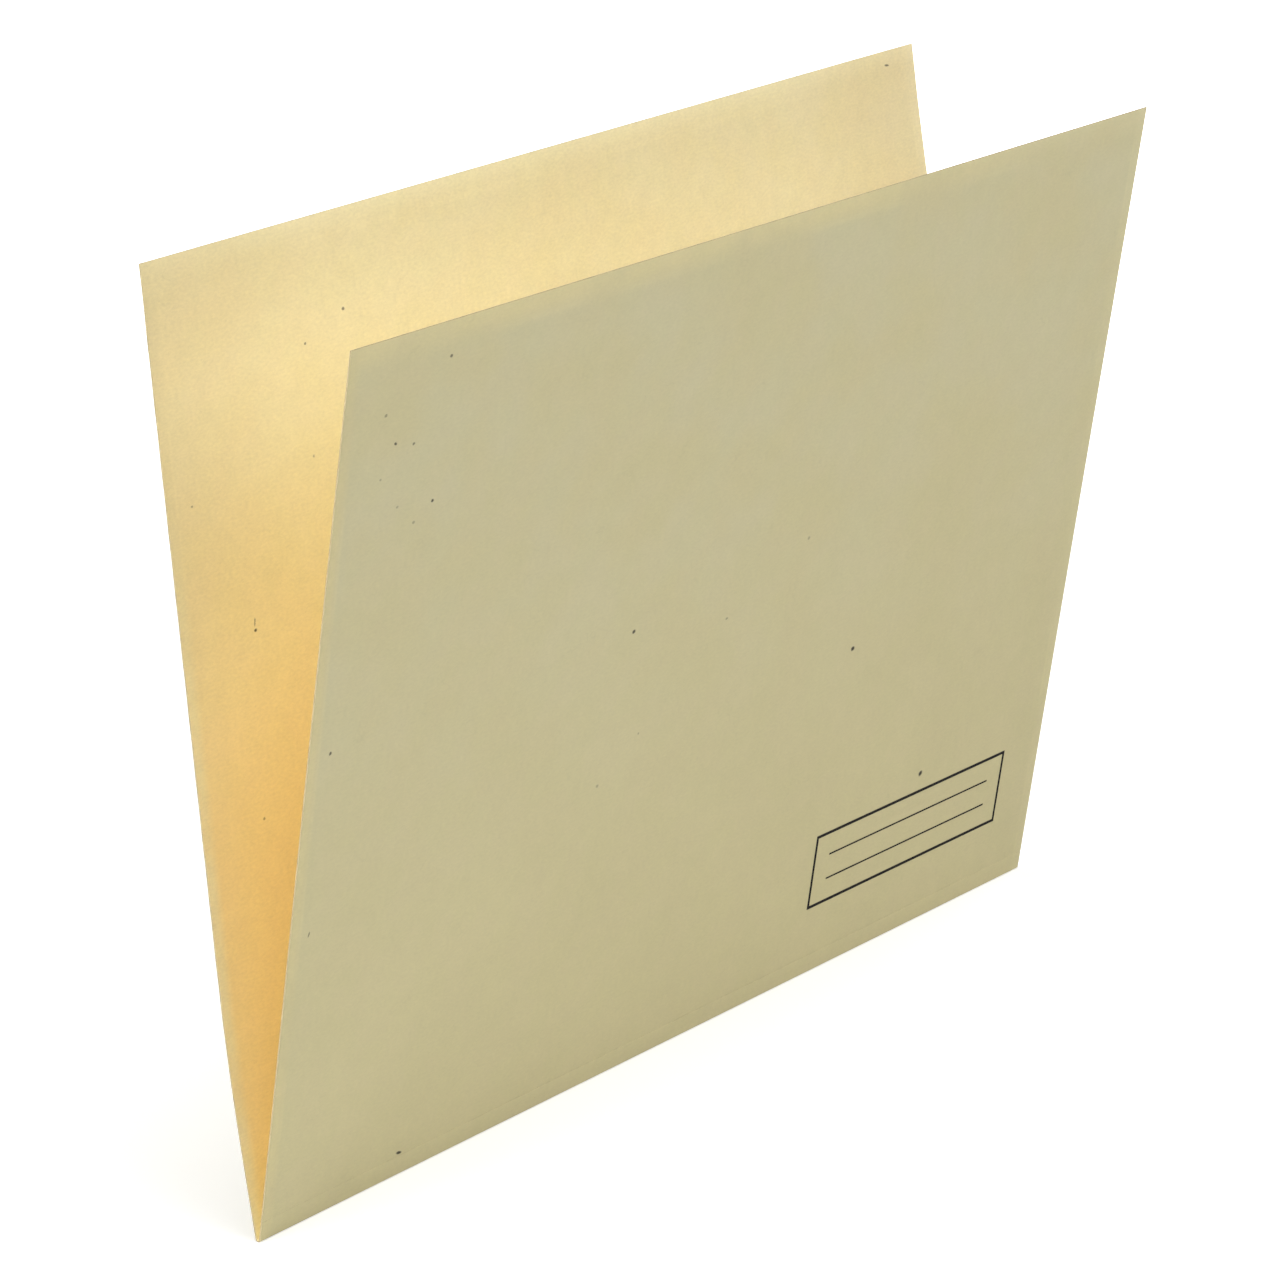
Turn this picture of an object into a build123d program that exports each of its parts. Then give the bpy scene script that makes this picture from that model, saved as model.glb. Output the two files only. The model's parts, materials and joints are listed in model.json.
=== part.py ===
import os
from math import atan2, cos, hypot, sin, tan

from build123d import *

# A manila folder: one sheet of card, folded once along X and standing open on its fold.
# The front leaf leans towards -Y and the back leaf towards +Y. All lengths are in millimetres.

# Card
card_thickness = 0.4

# Leaves: width along the fold, and heights from the fold's axis up the card to the top edge
leaf_width = 320.0
back_height = 240.0
front_height = 232.0
half_opening = 9.5              # degrees that each leaf leans from upright

# Curl of the back leaf: its top left corner leans inwards from a soft bend, which slants from the
# left edge up to the top right corner
curl_inwards = 14.0             # at the corner
curl_start = 44.0               # from the fold's axis, up the left edge to the middle of the bend
curl_width = 40.0               # across the bend

# Main fold: the pressed crease raises a bead inside the turn of the card
fold_inner_radius = 0.4         # from the fold's axis to the inner face of each leaf
fold_clearance = 0.05           # between the bead and the inner faces
fold_edge_gap = 0.03            # from the axis's level to the foot of each leaf
fold_rounding = 0.3             # round on the outside of the turn

# Score across the foot of the front leaf, where it can bend again
score_height = 5.0              # from the fold's axis, up the card
score_clearance = 0.05          # between the score's bead and the card on either side

# Frame printed on the outside of the front leaf, with two ruled lines inside it
frame_width = 88.0
frame_height = 22.5
frame_side_margin = 17.6        # from the leaf's right edge
frame_foot = 20.2               # from the fold's axis, up the card
frame_line = 0.9
rule_line = 0.5
rule_inset = 7.0                # from the frame's sides to the ends of the rules
rule_heights = (7.5, 15.0)      # from the frame's foot
ink_thickness = 0.03

# Sides that the leaves lie on
front = -1
back = 1

# Sizes that follow
fold_bead_radius = fold_inner_radius - fold_clearance
axis_height = fold_bead_radius
mid_card = fold_inner_radius + card_thickness / 2
score_bead_radius = card_thickness / 2
score_setback = score_bead_radius + score_clearance
outer_face = fold_inner_radius + card_thickness
foot_rounding = min(fold_rounding, 0.9 * card_thickness)


# Leans a piece that was made upright, together with its leaf, about the fold's axis.
def lean(piece, side):
    return Pos(0, 0, axis_height) * Rot(-side * half_opening, 0, 0) * piece


# A round bead along X, at a place across and up the upright card.
def bead(across, up, radius):
    section = Plane.YZ * Pos(across, up) * Circle(radius)
    return extrude(section, amount=leaf_width / 2, both=True)


# A flat upright panel of the front, from one height to another. A panel that starts at the fold is
# rounded on the outside of its foot.
def flat_panel(foot, top, starts_at_fold):
    section = Pos(front * mid_card, (foot + top) / 2) * Rectangle(card_thickness, top - foot)
    if starts_at_fold:
        outer_foot = section.vertices().group_by(Axis.Y)[0].sort_by(Axis.X)[0]
        section = fillet(outer_foot, foot_rounding)
    return extrude(Plane.YZ * section, amount=leaf_width / 2, both=True)


# The upright back leaf: a sheet drawn as it bends across the slanting line, trimmed to the leaf's
# outline and rounded on the outside of its foot.
def curled_panel(foot, top):
    rise = top - curl_start
    corner_reach = leaf_width * rise / hypot(leaf_width, rise)
    turn = atan2(curl_inwards, corner_reach)
    past_edges = leaf_width + top
    across_bend = Plane(
        origin=(-leaf_width / 2, back * mid_card, curl_start),
        x_dir=(-rise, 0, leaf_width),
        z_dir=(leaf_width, 0, rise),
    )
    bend = FilletPolyline(
        (-past_edges, 0),
        (0, 0),
        (past_edges * cos(turn), past_edges * sin(turn)),
        radius=curl_width / 2 / tan(turn / 2),
    )
    sheet = extrude(across_bend * trace(bend, card_thickness), amount=past_edges, both=True)
    outline = Pos(0, 0, (foot + top) / 2) * Box(leaf_width, past_edges, top - foot)
    leaf = sheet & outline
    outer_foot = leaf.edges().filter_by(Axis.X).group_by(Axis.Z)[0].sort_by(Axis.Y)[-1]
    return fillet(outer_foot, foot_rounding)


# A flat print on the outer face of the upright front leaf, from a sketch in the frame's own plane:
# X along the fold from the frame's middle, Y up the card from the frame's foot.
def front_print(sketch):
    middle = leaf_width / 2 - frame_side_margin - frame_width / 2
    face = Plane(origin=(middle, front * outer_face, frame_foot), x_dir=(1, 0, 0), z_dir=(0, front, 0))
    return extrude(face * sketch, amount=ink_thickness)


def printed_frame():
    outside = Pos(0, frame_height / 2) * Rectangle(frame_width, frame_height)
    inside = Pos(0, frame_height / 2) * Rectangle(frame_width - 2 * frame_line, frame_height - 2 * frame_line)
    return front_print(outside - inside)


def printed_rules():
    length = frame_width - 2 * rule_inset
    return [front_print(Pos(0, height) * Rectangle(length, rule_line)) for height in rule_heights]


fold_crease = Pos(0, 0, axis_height) * bead(0, 0, fold_bead_radius)
back_leaf = lean(curled_panel(fold_edge_gap, back_height), back)
front_strip = lean(flat_panel(fold_edge_gap, score_height - score_setback, True), front)
front_score = lean(bead(front * mid_card, score_height, score_bead_radius), front)
front_leaf = lean(flat_panel(score_height + score_setback, front_height, False), front)
label_frame = lean(printed_frame(), front)
label_rules = Compound([lean(rule, front) for rule in printed_rules()])

pieces = {
    "fold_crease": fold_crease,
    "back_leaf": back_leaf,
    "front_strip": front_strip,
    "front_score": front_score,
    "front_leaf": front_leaf,
    "label_frame": label_frame,
    "label_rules": label_rules,
}

os.makedirs("parts", exist_ok=True)
for name, piece in pieces.items():
    export_step(piece, f"parts/{name}.step")
    print(name, round(piece.volume, 3), "mm3")
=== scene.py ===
import json
from math import atan2, cos, hypot, pi, radians, sin

import bmesh
import bpy
from mathutils import Matrix, Vector


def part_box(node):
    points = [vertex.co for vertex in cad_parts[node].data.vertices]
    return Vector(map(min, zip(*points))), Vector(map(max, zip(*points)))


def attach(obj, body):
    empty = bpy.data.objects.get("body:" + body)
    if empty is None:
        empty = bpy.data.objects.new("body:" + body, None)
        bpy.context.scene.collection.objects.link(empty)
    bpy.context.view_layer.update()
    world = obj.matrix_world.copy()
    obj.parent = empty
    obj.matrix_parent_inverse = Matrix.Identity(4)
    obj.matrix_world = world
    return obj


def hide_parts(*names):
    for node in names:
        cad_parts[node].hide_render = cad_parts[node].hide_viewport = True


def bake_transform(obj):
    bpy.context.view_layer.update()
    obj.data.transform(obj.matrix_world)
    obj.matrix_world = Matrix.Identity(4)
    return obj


# A manila card folder standing open on its fold. Metres, +X along the fold, front leaf towards -Y.
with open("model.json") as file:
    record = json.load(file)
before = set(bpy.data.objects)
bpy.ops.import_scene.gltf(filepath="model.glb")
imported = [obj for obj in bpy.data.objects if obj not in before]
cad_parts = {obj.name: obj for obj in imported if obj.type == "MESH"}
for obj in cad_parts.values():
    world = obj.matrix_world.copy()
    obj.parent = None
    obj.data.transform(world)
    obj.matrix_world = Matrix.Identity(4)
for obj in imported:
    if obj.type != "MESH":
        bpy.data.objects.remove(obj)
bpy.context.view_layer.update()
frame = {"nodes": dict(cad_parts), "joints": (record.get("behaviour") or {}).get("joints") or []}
joints = {joint["name"]: joint for joint in frame["joints"]}
print("frame loaded:", ", ".join(sorted(frame["nodes"])))

scene = bpy.context.scene
scene.view_settings.view_transform = "Standard"
mm = 0.001

# the card, and the places on it that the frame gives
card = {
    "thickness": 0.0004,
    "foldRadius": 0.0006,       # from the fold's axis to the middle of the card
    "foldSteps": 10,            # faces round each half of the fold
    "columns": 64,              # faces along the fold
    "rowHeight": 0.005,         # faces up a leaf
    "cagePoints": 17,           # each way over a leaf, to bend it
    "cageDepth": 0.02,
    "cutRounding": 0.00005,     # on the cut edges
    "cutSegments": 2,
    "cutAngle": 60,             # edges sharper than this are cut edges
    "smoothAngle": 35,
}
front = -1
back = 1
lean = radians(90 - joints["back_fold"]["range_deg"][1])
foldHeight = joints["back_fold"]["pos_m"][2]
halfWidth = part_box("back_leaf")[1].x
halfCard = card["thickness"] / 2


# how far up a leaf a height is, for a point so far out of the card's middle
def upCard(height, out=0):
    return (height - foldHeight + (card["foldRadius"] + out) * sin(lean)) / cos(lean)


# the point so far up a leaf and so far out of the card's middle
def onCard(side, up, out=0):
    across = card["foldRadius"] + out
    return Vector((
        0,
        side * (across * cos(lean) + up * sin(lean)),
        foldHeight - across * sin(lean) + up * cos(lean),
    ))


# the back leaf's top left corner curls in from a soft slanting bend
curl = {
    "inwards": 0.014,           # at the corner, which the curl makes the leaf's highest point
    "start": 0.044,             # up the left edge, to the middle of the bend
    "width": 0.040,             # across the bend
}
scoreUp = upCard(joints["front_score"]["pos_m"][2])
backTop = upCard(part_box("back_leaf")[1].z, -halfCard - curl["inwards"])
frontTop = upCard(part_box("front_leaf")[1].z, -halfCard)
print(f"card: {2 * halfWidth:.3f} wide, front {frontTop:.3f}, back {backTop:.3f}, score at {scoreUp:.4f}")


# shader helpers
def addNode(tree, kind, inputs=None, **settings):
    node = tree.nodes.new(kind)
    for name, value in settings.items():
        setattr(node, name, value)
    for socket, value in (inputs or {}).items():
        if isinstance(value, bpy.types.NodeSocket):
            tree.links.new(value, node.inputs[socket])
        else:
            node.inputs[socket].default_value = value
    return node


def calc(tree, operation, first, second=0.0, third=0.0):
    return addNode(tree, "ShaderNodeMath", {0: first, 1: second, 2: third}, operation=operation).outputs[0]


def ramp(tree, value, low, high, toLow=0.0, toHigh=1.0):
    node = addNode(
        tree, "ShaderNodeMapRange", {0: value, 1: low, 2: high, 3: toLow, 4: toHigh},
        interpolation_type="SMOOTHSTEP",
    )
    return node.outputs[0]


def tint(tree, factor, base, other, blend="MIX"):
    node = addNode(
        tree, "ShaderNodeMix", {0: factor, 6: base, 7: other}, data_type="RGBA", blend_type=blend
    )
    return node.outputs[2]


# a noise layer; the shift takes another part of the pattern
def noise(tree, place, layer, shift=0.0):
    moved = addNode(
        tree, "ShaderNodeMapping",
        {"Vector": place, "Location": (shift, 0.6 * shift, 0), "Scale": layer.get("stretch", (1, 1, 1))},
    )
    node = addNode(
        tree, "ShaderNodeTexNoise",
        {
            "Vector": moved.outputs[0],
            "Scale": layer["scale"], "Detail": layer["detail"], "Roughness": layer["roughness"],
        },
    )
    return node.outputs[0]


# how far a noise, or another value around a half, is from its middle
def offMiddle(tree, value):
    return calc(tree, "SUBTRACT", value, 0.5)


def newMaterial(name):
    material = bpy.data.materials.new(name)
    material.use_nodes = True
    tree = material.node_tree
    tree.nodes.clear()
    shader = addNode(tree, "ShaderNodeBsdfPrincipled")
    output = addNode(tree, "ShaderNodeOutputMaterial")
    tree.links.new(shader.outputs[0], output.inputs[0])
    return material, tree, shader


# one face of the card: cloudy pulp, short fibres, bark flecks, paler rubbed edges, painted shade by the
# fold and at the upper sides
# names that end in In give the range of a noise, named beside them, over which that comes in
manila = {
    # the outside's tones are darker and greyer than the inside's: partly faded card, partly painted shade
    "outside": {
        "base": (0.707, 0.635, 0.374, 1),
        "aged": (0.690, 0.632, 0.396, 1),
        # painted shade: a little darker down by the fold
        "paintedFoldShade": (0.702, 0.629, 0.366, 1),
        "rubbed": (0.768, 0.674, 0.376, 1),
        "mottle": 1.2,
        "foldShadeFade": (0.04, 0.2),         # up the card, from the painted shade by the fold to the open tone
    },
    "inside": {
        "base": (0.952, 0.836, 0.510, 1),
        "aged": (0.937, 0.838, 0.535, 1),
        # painted shade and warm bounce light: deeper orange down by the fold
        "paintedFoldShade": (0.965, 0.775, 0.407, 1),
        "rubbed": (0.952, 0.846, 0.526, 1),
        # painted shade: the inside darker and greyer towards its upper sides
        "paintedSideShade": (0.92, 0.885, 0.835, 1),
        "mottle": 2.1,
        "foldShadeFade": (0.09, 0.2),
    },
    "agedIn": (0.35, 0.65),             # clouds
    "greenish": (0.992, 1.0, 0.985, 1),
    "greenishIn": (0.4, 0.6),           # hues
    "fleck": (0.045, 0.038, 0.027, 1),
    "roughness": 0.72,
    "roughSwing": 0.22,
    "specular": 0.3,
    "tooth": {"blotch": 0.5, "fibre": 0.35, "grain": 0.6},
    "toothStrength": 0.35,
    "toothDepth": 0.00006,
}
pulp = {
    "clouds": {"scale": 26, "detail": 3, "roughness": 0.55, "shift": 0.0, "tone": 0.09},
    "blotches": {"scale": 170, "detail": 4, "roughness": 0.7, "shift": 1.3, "tone": 0.07},
    "grain": {
        "scale": 1500, "detail": 2, "roughness": 0.6, "stretch": (0.5, 1, 1), "shift": 2.1, "tone": 0.11,
    },
    "hairs": {"scale": 240, "detail": 1, "roughness": 0.4, "stretch": (0.7, 1, 1), "shift": 3.7},
    "hairPatches": {"scale": 90, "detail": 1, "roughness": 0.5, "shift": 4.4},
    "hues": {"scale": 80, "detail": 2, "roughness": 0.5, "shift": 5.2},
    "hairIn": (0.52, 0.66),             # hair patches
    "hairWidth": 0.014,
    "hairTone": 0.03,
}
edgeWear = {
    "sideShare": 1.7,                   # how much narrower the wear is down the sides than along the top
    "cornerRound": 0.003,
    "pressAt": 0.0058,                  # pressed line, in from the top edge
    "pressFade": (0.0002, 0.0011),
    "pressIn": (0.42, 0.6),             # clouds
    "pressTone": 0.025,
    "marginFade": (0.002, 0.0085),      # in from the top edge
    "marginIn": (0.35, 0.55, 0.45, 1),  # clouds, and the margin's strength in them
    "handled": (0.04, 0.13, 1, 0.25),   # along the fold, and the margin's strength there
    "scoreFade": (0.0001, 0.0006),
    "scoreIn": (0.4, 0.62),             # blotches
    "scoreTone": 0.045,
    # where the painted shade on the inside comes in
    "sideShadeAlong": (0.09, 0.16),         # from the middle towards both sides
    "sideShadeUp": (0.13, 0.19),
}
specks = {
    "scale": 105.0,
    "some": (0.78, 1.0),                # cells that have one
    "size": 0.022,
    "soft": 0.008,
    "depth": (0.1, 0.55),
}
fleckEdge = {
    "wobble": 0.4,                      # millimetres
    "wobbleScale": 2600.0,
    "soft": (0.5, 1.2),                 # shares of a fleck's half length and width
}


def pulpNoise(tree, place, name, shift):
    return noise(tree, place, pulp[name], shift + pulp[name]["shift"])


# scattered small specks, and the larger flecks at their own places
def fleckDirt(tree, place, flecks):
    cells = addNode(tree, "ShaderNodeTexVoronoi", {"Vector": place, "Scale": specks["scale"]}).outputs
    chance = addNode(tree, "ShaderNodeSeparateColor", {0: cells[1]}).outputs
    size = calc(tree, "MULTIPLY", ramp(tree, chance[0], *specks["some"]), specks["size"])
    speck = ramp(tree, calc(tree, "SUBTRACT", size, cells[0]), 0.0, specks["soft"])
    dirt = calc(tree, "MULTIPLY", speck, ramp(tree, chance[1], 0.0, 1.0, *specks["depth"]))

    wobble = fleckEdge["wobble"] * mm
    shake = addNode(tree, "ShaderNodeTexNoise", {"Vector": place, "Scale": fleckEdge["wobbleScale"]})
    shaken = addNode(
        tree, "ShaderNodeVectorMath", {0: shake.outputs[1], 1: (wobble, wobble, 0), 2: place},
        operation="MULTIPLY_ADD",
    ).outputs[0]
    for x, y, length, width, angle, depth in flecks:
        fleckPlace = addNode(
            tree, "ShaderNodeMapping",
            {
                "Vector": shaken,
                "Location": (x * mm + wobble / 2, y * mm + wobble / 2, 0),
                "Rotation": (0, 0, radians(angle)),
                "Scale": (length * mm, width * mm, 1),
            },
            vector_type="TEXTURE",
        ).outputs[0]
        reach = addNode(tree, "ShaderNodeVectorMath", {0: fleckPlace}, operation="LENGTH").outputs["Value"]
        dirt = calc(tree, "MAXIMUM", dirt, ramp(tree, reach, *fleckEdge["soft"], depth, 0))
    return dirt


def manilaFace(name, tones, top, shift, flecks=(), scored=False):
    material, tree, shader = newMaterial(name)
    place = addNode(tree, "ShaderNodeUVMap", uv_map="cardUv").outputs[0]
    along, up = addNode(tree, "ShaderNodeSeparateXYZ", {0: place}).outputs[:2]

    cloud = pulpNoise(tree, place, "clouds", shift)
    blotch = pulpNoise(tree, place, "blotches", shift)
    grain = pulpNoise(tree, place, "grain", shift)
    hair = pulpNoise(tree, place, "hairs", shift)
    hairMask = ramp(tree, pulpNoise(tree, place, "hairPatches", shift), *pulp["hairIn"])
    offHair = calc(tree, "ABSOLUTE", offMiddle(tree, hair))
    fibre = calc(tree, "MULTIPLY", ramp(tree, offHair, 0.0, pulp["hairWidth"], 1, 0), hairMask)

    # tone, around 1
    tone = calc(tree, "MULTIPLY_ADD", offMiddle(tree, cloud), pulp["clouds"]["tone"], 1.0)
    for layer, strength in ((blotch, pulp["blotches"]["tone"]), (grain, pulp["grain"]["tone"])):
        swing = calc(tree, "MULTIPLY", offMiddle(tree, layer), strength * tones["mottle"])
        tone = calc(tree, "ADD", tone, swing)
    tone = calc(tree, "SUBTRACT", tone, calc(tree, "MULTIPLY", fibre, pulp["hairTone"]))

    # lighter along a pressed line inside the edges, and where the score is scuffed
    offCentre = calc(tree, "ABSOLUTE", along)
    toSide = calc(tree, "MULTIPLY", calc(tree, "SUBTRACT", halfWidth, offCentre), edgeWear["sideShare"])
    toTop = calc(tree, "SUBTRACT", top, up)
    edge = calc(tree, "SMOOTH_MIN", toSide, toTop, edgeWear["cornerRound"])
    offPress = calc(tree, "ABSOLUTE", calc(tree, "SUBTRACT", edge, edgeWear["pressAt"]))
    pressLine = ramp(tree, offPress, *edgeWear["pressFade"], 1, 0)
    press = calc(tree, "MULTIPLY", pressLine, ramp(tree, cloud, *edgeWear["pressIn"]))
    tone = calc(tree, "ADD", tone, calc(tree, "MULTIPLY", press, edgeWear["pressTone"]))
    if scored:
        offScore = calc(tree, "ABSOLUTE", calc(tree, "SUBTRACT", up, scoreUp))
        scoreLine = ramp(tree, offScore, *edgeWear["scoreFade"], 1, 0)
        scuff = calc(tree, "MULTIPLY", scoreLine, ramp(tree, blotch, *edgeWear["scoreIn"]))
        tone = calc(tree, "ADD", tone, calc(tree, "MULTIPLY", scuff, edgeWear["scoreTone"]))

    # aged in clouds, painted shade deeper by the fold, rubbed at the edges, painted shade darker towards
    # the upper sides
    colour = tint(tree, ramp(tree, cloud, *manila["agedIn"]), tones["base"], tones["aged"])
    # painted shade and bounce light, from the fold up to the open tone
    colour = tint(tree, ramp(tree, up, *tones["foldShadeFade"], 1, 0), colour, tones["paintedFoldShade"])
    margin = ramp(tree, edge, *edgeWear["marginFade"], 1, 0)
    margin = calc(tree, "MULTIPLY", margin, ramp(tree, cloud, *edgeWear["marginIn"]))
    margin = calc(tree, "MULTIPLY", margin, ramp(tree, along, *edgeWear["handled"]))
    colour = tint(tree, margin, colour, tones["rubbed"])
    # painted shade towards the upper sides of the inside
    if "paintedSideShade" in tones:
        corner = ramp(tree, offCentre, *edgeWear["sideShadeAlong"])
        corner = calc(tree, "MULTIPLY", corner, ramp(tree, up, *edgeWear["sideShadeUp"]))
        colour = tint(tree, corner, colour, tones["paintedSideShade"], "MULTIPLY")
    hue = pulpNoise(tree, place, "hues", shift)
    colour = tint(tree, ramp(tree, hue, *manila["greenishIn"]), colour, manila["greenish"], "MULTIPLY")
    grey = addNode(tree, "ShaderNodeCombineColor", {0: tone, 1: tone, 2: tone}).outputs[0]
    colour = tint(tree, 1.0, colour, grey, "MULTIPLY")
    colour = tint(tree, fleckDirt(tree, place, flecks), colour, manila["fleck"])
    tree.links.new(colour, shader.inputs["Base Color"])

    rough = calc(tree, "MULTIPLY_ADD", offMiddle(tree, grain), manila["roughSwing"], manila["roughness"])
    tree.links.new(rough, shader.inputs["Roughness"])
    shader.inputs["Specular IOR Level"].default_value = manila["specular"]
    tooth = manila["tooth"]
    height = calc(
        tree, "ADD",
        calc(tree, "MULTIPLY", blotch, tooth["blotch"]), calc(tree, "MULTIPLY", fibre, tooth["fibre"]),
    )
    height = calc(tree, "ADD", height, calc(tree, "MULTIPLY", grain, tooth["grain"]))
    bump = addNode(
        tree, "ShaderNodeBump",
        {"Strength": manila["toothStrength"], "Distance": manila["toothDepth"], "Height": height},
    )
    tree.links.new(bump.outputs[0], shader.inputs["Normal"])
    return material


# the cut edge shows the pulp's layers
cutEdge = {
    "pale": (0.55, 0.455, 0.265, 1),
    "layer": (0.39, 0.315, 0.18, 1),
    "layers": {"scale": 900, "detail": 3, "roughness": 0.6, "stretch": (0.3, 6, 0.3)},
    "paleIn": (0.35, 0.65),
    "roughness": 0.85,
    "specular": 0.2,
    "toothStrength": 0.4,
    "toothDepth": 0.00005,
}


def cutEdgePulp():
    material, tree, shader = newMaterial("cutEdgePulp")
    place = addNode(tree, "ShaderNodeTexCoord").outputs["Object"]
    layers = noise(tree, place, cutEdge["layers"])
    colour = tint(tree, ramp(tree, layers, *cutEdge["paleIn"]), cutEdge["layer"], cutEdge["pale"])
    tree.links.new(colour, shader.inputs["Base Color"])
    shader.inputs["Roughness"].default_value = cutEdge["roughness"]
    shader.inputs["Specular IOR Level"].default_value = cutEdge["specular"]
    bump = addNode(
        tree, "ShaderNodeBump",
        {"Strength": cutEdge["toothStrength"], "Distance": cutEdge["toothDepth"], "Height": layers},
    )
    tree.links.new(bump.outputs[0], shader.inputs["Normal"])
    return material


# black print, a little thin where it crosses fibres
ink = {
    "black": (0.009, 0.008, 0.008, 1),
    "worn": (0.055, 0.048, 0.036, 1),
    "wear": {"scale": 1800, "detail": 3, "roughness": 0.7},
    "wornIn": (0.56, 0.8),
    "roughIn": (0.3, 0.7, 0.55, 0.7),   # wear, and the roughness in it
    "specular": 0.08,
}


def blackInk():
    material, tree, shader = newMaterial("blackInk")
    place = addNode(tree, "ShaderNodeTexCoord").outputs["Object"]
    wear = noise(tree, place, ink["wear"])
    colour = tint(tree, ramp(tree, wear, *ink["wornIn"]), ink["black"], ink["worn"])
    tree.links.new(colour, shader.inputs["Base Color"])
    tree.links.new(ramp(tree, wear, *ink["roughIn"]), shader.inputs["Roughness"])
    shader.inputs["Specular IOR Level"].default_value = ink["specular"]
    return material


# the larger flecks, in millimetres: along the fold, up the card, half length, half width, turn, depth
frontFlecks = (
    (-40.5, 130.0, 0.70, 0.60, 20, 0.95),
    (58.0, 98.0, 0.85, 0.75, 0, 1.0),
    (100.5, 48.0, 0.95, 0.85, 40, 1.0),
    (-125.5, 187.0, 0.55, 0.45, 10, 0.92),
    (-141.0, 205.0, 0.58, 0.42, -25, 0.88),
    (-134.5, 203.5, 0.48, 0.42, 0, 0.68),
    (-145.5, 213.0, 0.56, 0.45, 15, 0.5),
    (-124.5, 223.0, 0.56, 0.48, 0, 0.75),
    (-152.5, 129.5, 0.56, 0.46, 60, 0.85),
    (-110.5, 6.0, 1.15, 0.45, -13, 0.97),
    (-153.5, 82.0, 0.80, 0.32, 75, 0.6),
    (-47.5, 89.0, 0.60, 0.50, 0, 0.35),
    (30.0, 137.5, 0.60, 0.52, 30, 0.35),
    (-145.0, 197.0, 0.44, 0.34, 0, 0.35),
    (-138.0, 188.5, 0.46, 0.38, 0, 0.35),
    (-131.5, 183.0, 0.56, 0.46, 0, 0.4),
    (-1.5, 123.0, 0.62, 0.34, 10, 0.45),
    (-33.0, 99.5, 0.40, 0.36, 0, 0.35),
)
backFlecks = (
    (-134.0, 146.0, 0.60, 0.50, 0, 0.9),
    (-134.0, 148.0, 1.20, 0.26, 80, 0.6),
    (-91.0, 215.5, 0.60, 0.50, 0, 0.75),
    (-106.0, 210.0, 0.42, 0.38, 0, 0.7),
    (-107.0, 182.5, 0.44, 0.38, 0, 0.42),
    (-151.5, 180.5, 0.40, 0.34, 0, 0.5),
    (-138.0, 100.0, 0.52, 0.44, 0, 0.55),
    (147.0, 236.0, 1.15, 0.32, -10, 0.8),
)
# each face takes its own part of the noises
frontOutside = manilaFace("manilaFrontOutside", manila["outside"], frontTop, 0.0, frontFlecks, scored=True)
frontInside = manilaFace("manilaFrontInside", manila["inside"], frontTop, 7.0, scored=True)
backOutside = manilaFace("manilaBackOutside", manila["outside"], backTop, 14.0)
backInside = manilaFace("manilaBackInside", manila["inside"], backTop, 21.0, backFlecks)
cutPulp = cutEdgePulp()
printInk = blackInk()
print("materials made")


# modelling helpers
def chooseVerts(piece, wanted):
    mesh = bmesh.from_edit_mesh(piece.data)
    for vert in mesh.verts:
        vert.select_set(wanted(vert.co))
    mesh.select_flush(False)
    bmesh.update_edit_mesh(piece.data)


def chooseOnly(piece):
    bpy.ops.object.select_all(action="DESELECT")
    bpy.context.view_layer.objects.active = piece
    piece.select_set(True)


# a row of vertices along the fold, left in edit mode with all of it selected
def startRow(name, place):
    bpy.ops.object.select_all(action="DESELECT")
    bpy.ops.mesh.primitive_plane_add(size=2 * halfWidth, location=place + Vector((0, halfWidth, 0)))
    piece = bpy.context.active_object
    piece.name = piece.data.name = name
    bpy.ops.object.transform_apply(location=True, rotation=True, scale=True)
    bpy.ops.object.mode_set(mode="EDIT")
    bpy.ops.mesh.select_mode(type="VERT")
    chooseVerts(piece, lambda co: co.y > place.y + halfWidth)
    bpy.ops.mesh.delete(type="VERT")
    bpy.ops.mesh.select_all(action="SELECT")
    bpy.ops.mesh.subdivide(number_cuts=card["columns"] - 1)
    return piece


# half of the fold, from its lowest line round to the foot of a leaf
def turnFold(side):
    bpy.ops.mesh.spin(
        steps=card["foldSteps"], angle=-side * (pi / 2 - lean), center=(0, 0, foldHeight), axis=(1, 0, 0)
    )


# rows are places on a leaf: how far up, and how far out of the card's middle
def growTo(side, rows):
    for low, high in zip(rows, rows[1:]):
        step = onCard(side, *high) - onCard(side, *low)
        bpy.ops.mesh.extrude_region_move(TRANSFORM_OT_translate={"value": step})


def evenRows(low, high):
    count = max(1, round((high - low) / card["rowHeight"]))
    return [(low + (high - low) * row / count, 0) for row in range(count + 1)]


# the sheet's own map: metres along the fold and up the card
def mapCard(piece, side):
    uvs = piece.data.uv_layers.new(name="cardUv")
    for loop in piece.data.loops:
        place = piece.data.vertices[loop.vertex_index].co
        up = upCard(place.z)
        if up < 0:
            up = card["foldRadius"] * (atan2(side * place.y, foldHeight - place.z) - (pi / 2 - lean))
        uvs.data[loop.index].uv = (place.x, up)


def applyAll(piece):
    chooseOnly(piece)
    for modifier in list(piece.modifiers):
        bpy.ops.object.modifier_apply(modifier=modifier.name)


# bends finished sheets with a cage over a leaf; bow tells how far out each place moves
def bowLeaf(pieces, side, top, bow):
    bpy.ops.object.select_all(action="DESELECT")
    bpy.ops.object.add(type="LATTICE", location=onCard(side, top / 2), rotation=(-side * lean, 0, 0))
    cage = bpy.context.active_object
    cage.scale = (2 * halfWidth, card["cageDepth"], top)
    cage.data.points_u = card["cagePoints"]
    cage.data.points_v = 1
    cage.data.points_w = card["cagePoints"]
    cage.data.interpolation_type_u = "KEY_CARDINAL"
    cage.data.interpolation_type_w = "KEY_CARDINAL"
    for point in cage.data.points:
        out = bow(point.co.x * cage.scale.x, (point.co.z + 0.5) * top)
        point.co_deform.y += side * out / cage.scale.y
    for piece in pieces:
        piece.modifiers.new("bow", "LATTICE").object = cage
        applyAll(piece)
    bpy.data.objects.remove(cage)


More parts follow.
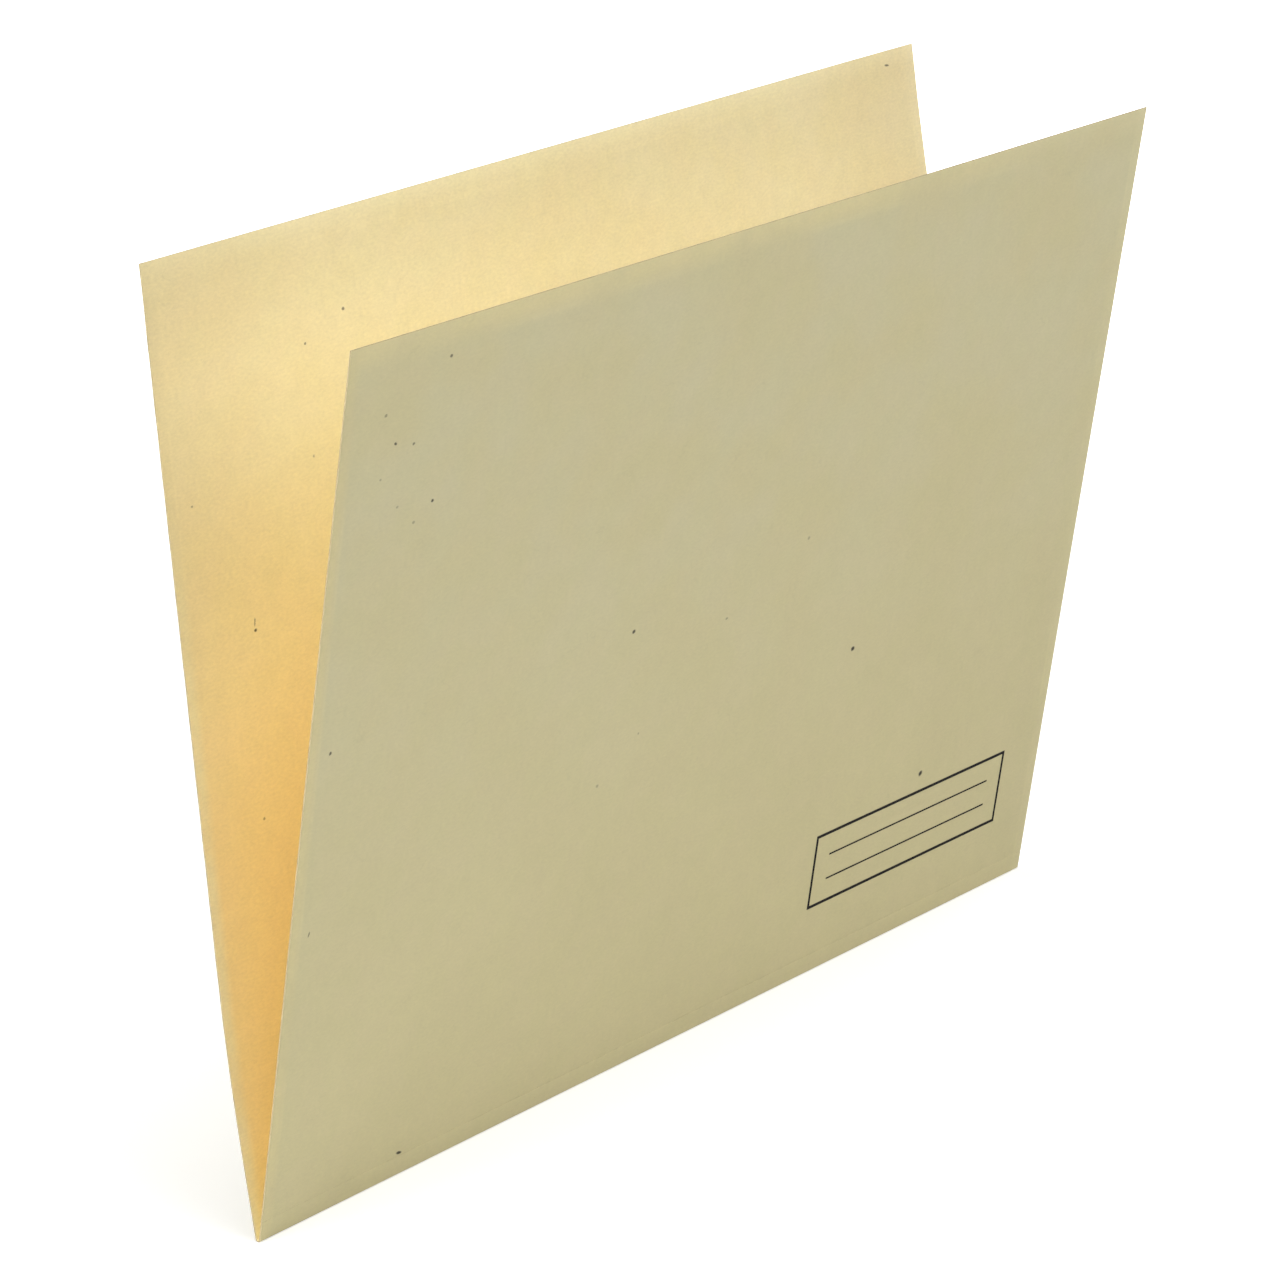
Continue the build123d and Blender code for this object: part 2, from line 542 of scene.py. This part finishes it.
# the sheet gets the card's thickness, its faces' materials and softened cut edges
def thicken(piece, side, outside, inside):
    for material in (outside, inside, cutPulp):
        piece.data.materials.append(material)
    chooseOnly(piece)
    bpy.ops.object.mode_set(mode="EDIT")
    bpy.ops.mesh.select_all(action="SELECT")
    bpy.ops.mesh.normals_make_consistent(inside=False)
    bpy.ops.object.mode_set(mode="OBJECT")
    highest = max(piece.data.polygons, key=lambda face: face.center.z)
    if side * highest.normal.y < 0:
        bpy.ops.object.mode_set(mode="EDIT")
        bpy.ops.mesh.select_all(action="SELECT")
        bpy.ops.mesh.flip_normals()
        bpy.ops.object.mode_set(mode="OBJECT")
    wall = piece.modifiers.new("wall", "SOLIDIFY")
    wall.thickness = card["thickness"]
    wall.offset = 0
    wall.use_even_offset = True
    wall.material_offset = 1
    wall.material_offset_rim = 2
    soften = piece.modifiers.new("soften", "BEVEL")
    soften.width = card["cutRounding"]
    soften.segments = card["cutSegments"]
    soften.limit_method = "ANGLE"
    soften.angle_limit = radians(card["cutAngle"])
    applyAll(piece)
    bpy.ops.object.shade_smooth_by_angle(angle=radians(card["smoothAngle"]))


# back leaf with its half of the fold, curled in at its top left corner
def backBow(along, up):
    rise = backTop - curl["start"]
    slant = hypot(2 * halfWidth, rise)
    pastBend = ((up - curl["start"]) * 2 * halfWidth - (along + halfWidth) * rise) / slant
    slope = curl["inwards"] / (2 * halfWidth * rise / slant)
    inBend = min(max(pastBend + curl["width"] / 2, 0), curl["width"])
    return -slope * (inBend ** 2 / (2 * curl["width"]) + max(pastBend - curl["width"] / 2, 0))


foldBottom = Vector((0, 0, foldHeight - card["foldRadius"]))
backCard = startRow("backCard", foldBottom)
turnFold(back)
growTo(back, evenRows(0, backTop))
bpy.ops.object.mode_set(mode="OBJECT")
mapCard(backCard, back)
bowLeaf([backCard], back, backTop, backBow)
thicken(backCard, back, backOutside, backInside)
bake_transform(backCard)
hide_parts("back_leaf", "fold_crease")
print("back leaf:", len(backCard.data.polygons), "faces")

# the score: the card dips in over a few rows on either side of its line
score = {"halfWidth": 0.0007, "depth": 0.00005, "rows": 4}


# rows over part of the score: its line is at 0, and its edges are at -1 and 1
def scoreRows(start, stop):
    rows = []
    for row in range(score["rows"] + 1):
        share = start + (stop - start) * row / score["rows"]
        dip = score["depth"] * (0.5 + 0.5 * cos(pi * share))
        rows.append((scoreUp + share * score["halfWidth"], -dip))
    return rows


# strip of the front between the fold and the score
frontStrip = startRow("frontStrip", foldBottom)
turnFold(front)
growTo(front, evenRows(0, scoreUp - score["halfWidth"]) + scoreRows(-1, 0)[1:])
bpy.ops.object.mode_set(mode="OBJECT")
mapCard(frontStrip, front)
thicken(frontStrip, front, frontOutside, frontInside)
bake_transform(frontStrip)
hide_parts("front_strip")
print("front strip:", len(frontStrip.data.polygons), "faces")

# front leaf above the score, a little hollow between its edges and less so at its sides
hollow = {"depth": 0.0004, "lessAtSides": 0.6}


def frontBow(along, up):
    across = 1 - hollow["lessAtSides"] * (along / halfWidth) ** 2
    return -hollow["depth"] * sin(pi * up / frontTop) * across


frontCard = startRow("frontCard", onCard(front, *scoreRows(0, 1)[0]))
growTo(front, scoreRows(0, 1) + evenRows(scoreUp + score["halfWidth"], frontTop)[1:])
bpy.ops.object.mode_set(mode="OBJECT")
mapCard(frontCard, front)

# label frame and its two rules, printed on the outside of the front leaf
label = {
    "frameLine": 0.0009,
    "ruleLine": 0.0005,
    "ink": 0.00003,
    "lift": 0.000005,           # off the card
    "cuts": 15,                 # so that the print can bend with the leaf
}


# a flat patch on the leaf, left in edit mode with all of it selected
def inkPatch(name, left, right, foot, top):
    out = halfCard + label["lift"]
    bpy.ops.object.select_all(action="DESELECT")
    bpy.ops.mesh.primitive_plane_add(
        size=1, location=onCard(front, (foot + top) / 2, out) + Vector(((left + right) / 2, 0, 0)),
        rotation=(pi / 2 + lean, 0, 0),
    )
    piece = bpy.context.active_object
    piece.scale = (right - left, top - foot, 1)
    piece.name = piece.data.name = name
    bpy.ops.object.transform_apply(location=True, rotation=True, scale=True)
    bpy.ops.object.mode_set(mode="EDIT")
    bpy.ops.mesh.select_all(action="SELECT")
    bpy.ops.mesh.subdivide(number_cuts=label["cuts"])
    return piece


def finishInk(piece):
    piece.data.materials.append(printInk)
    film = piece.modifiers.new("film", "SOLIDIFY")
    film.thickness = label["ink"]
    film.offset = 1
    applyAll(piece)


frameLow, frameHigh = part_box("label_frame")
labelFrame = inkPatch(
    "labelFrame", frameLow.x, frameHigh.x, upCard(frameLow.z, halfCard), upCard(frameHigh.z, halfCard)
)
bpy.ops.mesh.inset(thickness=label["frameLine"], use_boundary=True)
bpy.ops.mesh.delete(type="FACE")
bpy.ops.object.mode_set(mode="OBJECT")

ruleLow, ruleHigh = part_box("label_rules")
ruleFoot = upCard(ruleLow.z, halfCard)
ruleTop = upCard(ruleHigh.z, halfCard)
labelRules = inkPatch("labelRules", ruleLow.x, ruleHigh.x, ruleFoot, ruleFoot + label["ruleLine"])
bpy.ops.mesh.duplicate_move(
    TRANSFORM_OT_translate={"value": onCard(front, ruleTop - label["ruleLine"]) - onCard(front, ruleFoot)}
)
bpy.ops.object.mode_set(mode="OBJECT")

bowLeaf([frontCard, labelFrame, labelRules], front, frontTop, frontBow)
thicken(frontCard, front, frontOutside, frontInside)
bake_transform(frontCard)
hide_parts("front_leaf", "front_score")
print("front leaf:", len(frontCard.data.polygons), "faces")

for inkPiece, node in ((labelFrame, "label_frame"), (labelRules, "label_rules")):
    finishInk(inkPiece)
    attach(inkPiece, "front")
    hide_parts(node)
print("print: frame", len(labelFrame.data.polygons), "faces, rules", len(labelRules.data.polygons), "faces")

# floor and sky
studio = {
    "floorSize": 12.0,
    "floorDrop": 0.00002,       # under the lowest point of the fold
    "floorWhite": (0.82, 0.82, 0.82, 1),
    "floorRoughness": 0.9,
    "floorGlow": (0.42, 1.0),   # by the folder and away from it, not lighting the folder
    "glowReach": (0.25, 1.1),
    "white": (1, 1, 1, 1),
    "skyLight": 0.005,
}


# 1 where the camera, or a reflection, looks at the surroundings
def seenDirectly(tree):
    path = addNode(tree, "ShaderNodeLightPath").outputs
    seen = calc(tree, "MAXIMUM", path["Is Camera Ray"], path["Is Glossy Ray"])
    return calc(tree, "MAXIMUM", seen, path["Is Transmission Ray"])


bpy.ops.object.select_all(action="DESELECT")
floorHeight = foldBottom.z - halfCard - studio["floorDrop"]
bpy.ops.mesh.primitive_plane_add(size=studio["floorSize"], location=(0, 0, floorHeight))
floor = bpy.context.active_object
floor.name = "floor"
floorPaint, floorTree, floorShader = newMaterial("floorPaint")
floorShader.inputs["Base Color"].default_value = studio["floorWhite"]
floorShader.inputs["Roughness"].default_value = studio["floorRoughness"]
floorShader.inputs["Specular IOR Level"].default_value = 0.0
floorShader.inputs["Emission Color"].default_value = studio["white"]
floorPlace = addNode(floorTree, "ShaderNodeTexCoord").outputs["Object"]
away = addNode(floorTree, "ShaderNodeVectorMath", {0: floorPlace}, operation="LENGTH").outputs["Value"]
glow = ramp(floorTree, away, *studio["glowReach"], *studio["floorGlow"])
floorTree.links.new(
    calc(floorTree, "MULTIPLY", seenDirectly(floorTree), glow), floorShader.inputs["Emission Strength"]
)
floor.data.materials.append(floorPaint)

world = bpy.data.worlds.new("studioSky")
scene.world = world
world.use_nodes = True
skyTree = world.node_tree
sky = skyTree.nodes["Background"]
sky.inputs["Color"].default_value = studio["white"]
skyTree.links.new(ramp(skyTree, seenDirectly(skyTree), 0, 1, studio["skyLight"], 1), sky.inputs["Strength"])

# lamps: azimuth and height as seen from the folder, distance, size, power
lamps = {
    "leftLow": {"azimuth": -105, "height": 4, "distance": 1.7, "size": 0.6, "power": 20.4},
    "rearLeft": {"azimuth": -125, "height": 35, "distance": 1.7, "size": 0.6, "power": 11.0},
    "frontLeft": {"azimuth": -30, "height": 55, "distance": 2.4, "size": 1.3, "power": 7.9},
    "frontMid": {"azimuth": 10, "height": 36, "distance": 2.4, "size": 1.3, "power": 17.9},
    "rightLow": {"azimuth": 85, "height": 18, "distance": 2.4, "size": 1.3, "power": 22.5},
    "overhead": {"azimuth": 5, "height": 80, "distance": 1.7, "size": 0.9, "power": 11.0},
}
lampAim = Vector((0, 0, 0.12))
for name, lamp in lamps.items():
    azimuth, height = radians(lamp["azimuth"]), radians(lamp["height"])
    way = Vector((sin(azimuth) * cos(height), -cos(azimuth) * cos(height), sin(height)))
    bpy.ops.object.light_add(
        type="AREA", location=lampAim + lamp["distance"] * way,
        rotation=way.to_track_quat("Z", "Y").to_euler(),
    )
    light = bpy.context.active_object
    light.name = light.data.name = name
    light.data.size = lamp["size"]
    light.data.energy = lamp["power"]
    light.visible_camera = False
print("studio lit by", ", ".join(lamps))

# camera where the photograph was taken from
view = {
    "place": (-0.9395, -0.7581, 0.5114),
    "azimuth": -50.783,
    "height": 18.359,
    "roll": -0.546,
    "lens": 137.576,
    "sensor": 36.0,
    "clipStart": 0.01,
}
cameraTurn = (
    Matrix.Rotation(radians(view["azimuth"]), 4, "Z")
    @ Matrix.Rotation(radians(90 - view["height"]), 4, "X")
    @ Matrix.Rotation(radians(view["roll"]), 4, "Z")
)
bpy.ops.object.camera_add(location=view["place"], rotation=cameraTurn.to_euler())
camera = bpy.context.active_object
camera.name = "photoCamera"
camera.data.lens = view["lens"]
camera.data.sensor_width = view["sensor"]
camera.data.clip_start = view["clipStart"]
scene.camera = camera
